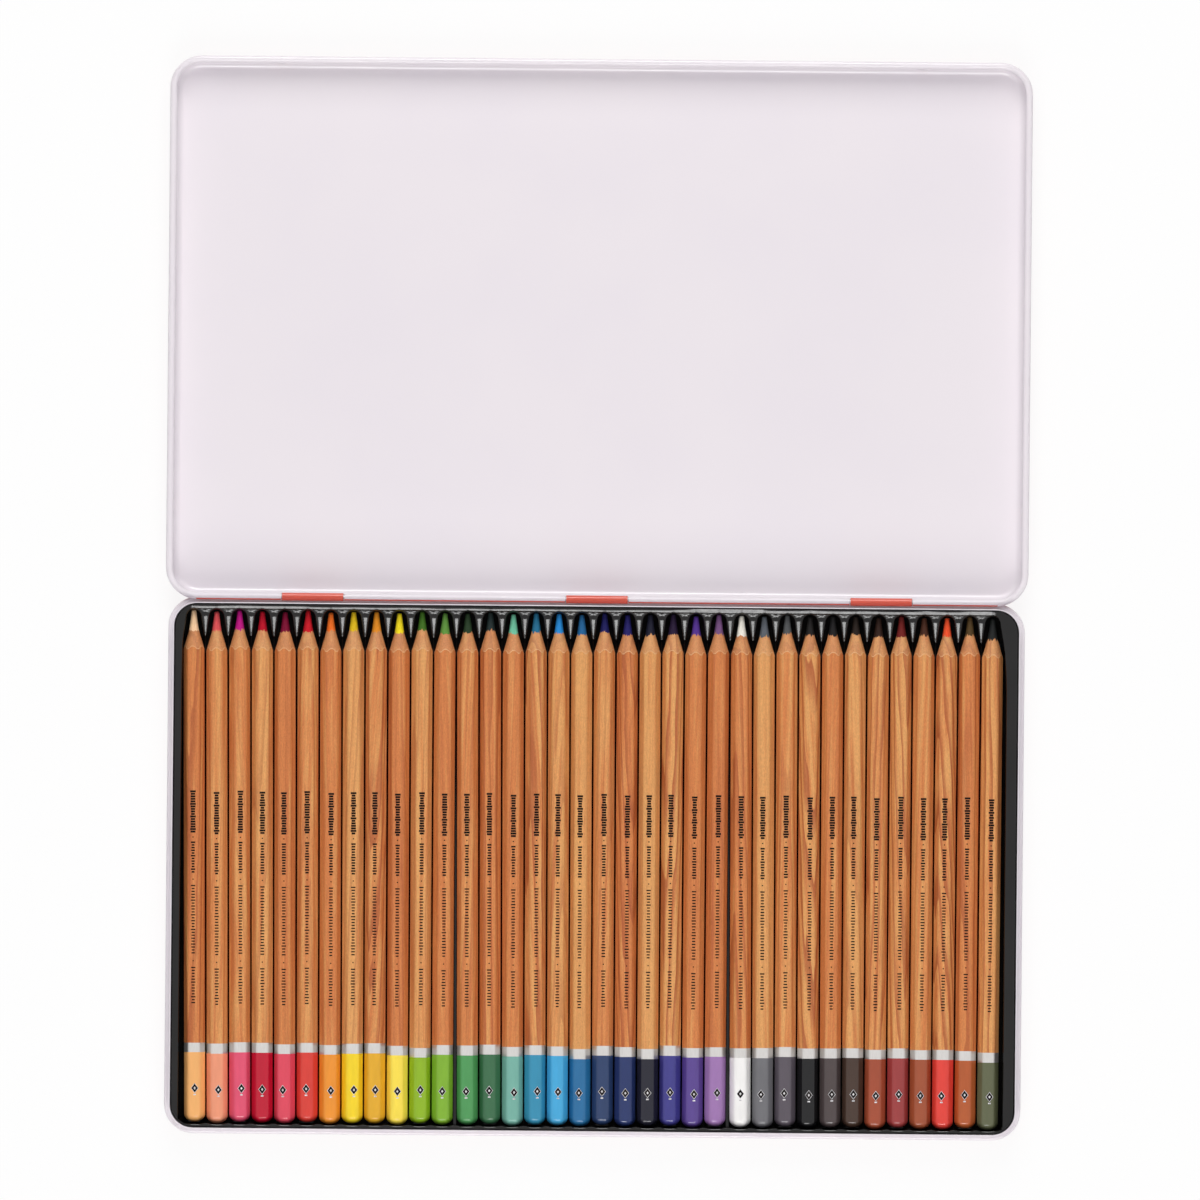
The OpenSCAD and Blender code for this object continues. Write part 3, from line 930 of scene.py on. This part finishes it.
def row_places(y):
    """Where the columns of the tray's mesh cross one row, following the pockets' walls."""
    out_y = max(abs(y) - (TRAY_HIGH[1] - TRAY_R), 0.0)
    half = TRAY_HIGH[0] - TRAY_R + math.sqrt(max(TRAY_R ** 2 - out_y ** 2, 0.0))
    first = axis_x(1, y) - reach(1, y, -1)
    last = axis_x(PENCILS, y) + reach(PENCILS, y, 1)
    places = [first - (first + TRAY_HIGH[0]) * share for share in reversed(SIDE_SHARES)]
    for n in range(1, PENCILS + 1):
        middle = axis_x(n, y)
        left, right = reach(n, y, -1), reach(n, y, 1)
        tooth = (axis_x(2, y) - axis_x(1, y)) / 2 - half_width(y)
        if n > 1:
            places += [middle - left - min(v, tooth * share) for v, share in TOOTH]
        places += [middle - v for v in pocket_columns(left)]
        places += [middle] + [middle + v for v in reversed(pocket_columns(right))]
        if n < PENCILS:
            places += [middle + right + min(v, tooth * share) for v, share in TOOTH[:0:-1]]
    places += [last + (TRAY_HIGH[0] - last) * share for share in SIDE_SHARES]
    count = len(places)
    return [
        min(max(x, LEAST_STEP * k - half), half - LEAST_STEP * (count - 1 - k))
        for k, x in enumerate(places)
    ]


def outward(x, y):
    """The outline's outward direction at a point of it."""
    cx = min(max(x, TRAY_LOW[0] + TRAY_R), TRAY_HIGH[0] - TRAY_R)
    cy = min(max(y, TRAY_LOW[1] + TRAY_R), TRAY_HIGH[1] - TRAY_R)
    away = math.hypot(x - cx, y - cy)
    return ((x - cx) / away, (y - cy) / away)


def make_tray(material):
    piece = Piece()
    grid = []
    for y in [TRAY_HIGH[1]] + TRAY_ROWS + [TRAY_LOW[1]]:
        grid.append([piece.point((x, y, tray_height(x, y)), GREY) for x in row_places(y)])
    for back, front in zip(grid, grid[1:]):
        for k in range(len(back) - 1):
            piece.face([front[k], front[k + 1], back[k + 1], back[k]], 0)

    # The skirt, and the hollow under the rim round the moulded pocket
    rim = grid[-1] + [row[-1] for row in grid[-2:0:-1]] + grid[0][::-1] + [row[0] for row in grid[1:-1]]
    sides = [(piece.points[k][0], piece.points[k][1]) for k in rim]
    ways = [outward(x, y) for x, y in sides]
    foot = TRAY_LOW[2]
    under = TRAY_HIGH[2] - TRAY_SHEET
    rings = [rim, piece.ring([(x, y, foot) for x, y in sides], GREY)]
    inner = [(x - TRAY_SHEET * nx, y - TRAY_SHEET * ny) for (x, y), (nx, ny) in zip(sides, ways)]
    rings.append(piece.ring([(x, y, foot) for x, y in inner], GREY))
    rings.append(piece.ring([(x, y, under) for x, y in inner], GREY))
    core = []
    for (x, y), (nx, ny) in zip(sides, ways):
        cx = min(max(x, POCKET_LEFT + POCKET_R), POCKET_RIGHT - POCKET_R)
        cy = min(max(y, POCKET_FRONT + POCKET_R), POCKET_BACK - POCKET_R)
        core.append((cx + nx * (POCKET_R + TRAY_SHEET), cy + ny * (POCKET_R + TRAY_SHEET)))
    rings.append(piece.ring([(x, y, under) for x, y in core], GREY))
    rings.append(piece.ring([(x, y, TRAY_FLOOR - TRAY_SHEET) for x, y in core], GREY))
    for high, low in zip(rings, rings[1:]):
        piece.band(low, high, 0)
    piece.cap(rings[-1], (0, 0, TRAY_FLOOR - TRAY_SHEET), 0, GREY, False)

    mesh = bpy.data.meshes.new("tray_mesh")
    mesh.from_pydata([[MM * v for v in co] for co in piece.points], [], piece.faces)
    mesh.materials.append(material)
    mesh.polygons.foreach_set("use_smooth", [True] * len(piece.faces))
    mesh.update()
    mesh.set_sharp_from_angle(angle=math.radians(40))
    obj = bpy.data.objects.new("tray_moulding", mesh)
    bpy.context.scene.collection.objects.link(obj)
    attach(obj, "tray")
    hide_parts("tray")


make_tray(black_plastic())

# ---- the tin ----

NODE_LOOKS = {
    "base_pan": enamel("enamel_base", base_red),
    "lid": enamel("enamel_lid", lid_red),
}
wire = steel_wire()
for pin in ("hinge_pin_left", "hinge_pin_centre", "hinge_pin_right"):
    NODE_LOOKS[pin] = wire
for node_name, material in NODE_LOOKS.items():
    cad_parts[node_name].material_slots[0].material = material

# ---- floor, light and camera ----


def whitened(tree, shader, white, strength):
    """Mixes white over the shader for camera, glossy and transmission rays, and leaves its light."""
    path = tree.nodes.new("ShaderNodeLightPath")
    seen = tree.nodes.new("ShaderNodeMath")
    seen.operation = "MAXIMUM"
    tree.links.new(path.outputs["Is Camera Ray"], seen.inputs[0])
    also = tree.nodes.new("ShaderNodeMath")
    also.operation = "MAXIMUM"
    tree.links.new(path.outputs["Is Glossy Ray"], also.inputs[0])
    tree.links.new(path.outputs["Is Transmission Ray"], also.inputs[1])
    tree.links.new(also.outputs[0], seen.inputs[1])
    share = tree.nodes.new("ShaderNodeMath")
    share.operation = "MULTIPLY"
    share.inputs[1].default_value = strength
    tree.links.new(seen.outputs[0], share.inputs[0])
    mix = tree.nodes.new("ShaderNodeMixShader")
    tree.links.new(share.outputs[0], mix.inputs[0])
    tree.links.new(shader.outputs[0], mix.inputs[1])
    tree.links.new(white.outputs[0], mix.inputs[2])
    return mix


# The floor's half width and height, in metres, just under the part
FLOOR_HALF = 3.0
FLOOR_Z = -0.0004


def make_floor():
    mesh = bpy.data.meshes.new("floor_mesh")
    corners = [(FLOOR_HALF * a, FLOOR_HALF * b, FLOOR_Z) for a, b in ((-1, -1), (1, -1), (1, 1), (-1, 1))]
    mesh.from_pydata(corners, [], [(0, 1, 2, 3)])
    floor = bpy.data.objects.new("floor", mesh)
    bpy.context.scene.collection.objects.link(floor)
    material = bpy.data.materials.new("floor_white")
    material.use_nodes = True
    tree = material.node_tree
    tree.nodes.clear()
    paper = tree.nodes.new("ShaderNodeBsdfDiffuse")
    paper.inputs["Color"].default_value = (0.94, 0.94, 0.94, 1)
    glow = tree.nodes.new("ShaderNodeEmission")
    glow.inputs["Color"].default_value = (1, 1, 1, 1)
    glow.inputs["Strength"].default_value = 1.0
    mix = whitened(tree, paper, glow, 0.9)
    out = tree.nodes.new("ShaderNodeOutputMaterial")
    tree.links.new(mix.outputs[0], out.inputs[0])
    mesh.materials.append(material)


def make_world():
    world = bpy.data.worlds.new("studio")
    bpy.context.scene.world = world
    world.use_nodes = True
    tree = world.node_tree
    tree.nodes.clear()
    fill = tree.nodes.new("ShaderNodeBackground")
    fill.inputs["Color"].default_value = (0.95, 0.93, 1.0, 1)
    fill.inputs["Strength"].default_value = 0.32
    white = tree.nodes.new("ShaderNodeBackground")
    white.inputs["Strength"].default_value = 1.0
    white.inputs["Color"].default_value = (1, 1, 1, 1)
    mix = whitened(tree, fill, white, 1.0)
    out = tree.nodes.new("ShaderNodeOutputWorld")
    tree.links.new(mix.outputs[0], out.inputs[0])


# The point that every lamp faces, at the tin's hinge, and the wide lamps' colour
LIGHT_AIM = (0, 0.09, 0)
DAYLIGHT = (1.0, 0.99, 0.96)


def soft_light(name, at, size, power, colour=(1, 1, 1)):
    data = bpy.data.lights.new(name, "AREA")
    data.shape = "RECTANGLE"
    data.size = size[0]
    data.size_y = size[1]
    data.energy = power
    data.color = colour
    light = bpy.data.objects.new(name, data)
    light.location = at
    light.rotation_euler = (Vector(LIGHT_AIM) - Vector(at)).to_track_quat("-Z", "Y").to_euler()
    light.visible_camera = False
    bpy.context.scene.collection.objects.link(light)
    return light


make_floor()
make_world()
# The strips are only reflected, and the wide lamps only light
for lamp in (
    soft_light("back_strip", (0.0, 1.5, 1.0), (0.8, 0.25), 12),
    soft_light("front_strip", (0.0, -1.15, 1.15), (0.8, 0.25), 11),
):
    lamp.visible_diffuse = False
for lamp in (
    soft_light("back_wash", (0.0, 1.5, 1.2), (1.2, 1.2), 21, DAYLIGHT),
    soft_light("front_wash", (0.0, -1.3, 1.2), (1.2, 1.2), 19, DAYLIGHT),
):
    lamp.visible_glossy = False

# The camera looks straight down from 5 m, turned a little as the tin lies
CAMERA_AT = (0.00104, 0.09189, 5.0)
CAMERA_LENS = 437.95
CAMERA_TURN = 0.5407

camera_data = bpy.data.cameras.new("camera")
camera_data.lens = CAMERA_LENS
camera_data.sensor_width = 36.0
camera_data.clip_end = 20.0
camera = bpy.data.objects.new("camera", camera_data)
camera.location = CAMERA_AT
camera.rotation_euler = (0, 0, math.radians(CAMERA_TURN))
bpy.context.scene.collection.objects.link(camera)
bpy.context.scene.camera = camera
bpy.context.scene.view_settings.view_transform = "Standard"
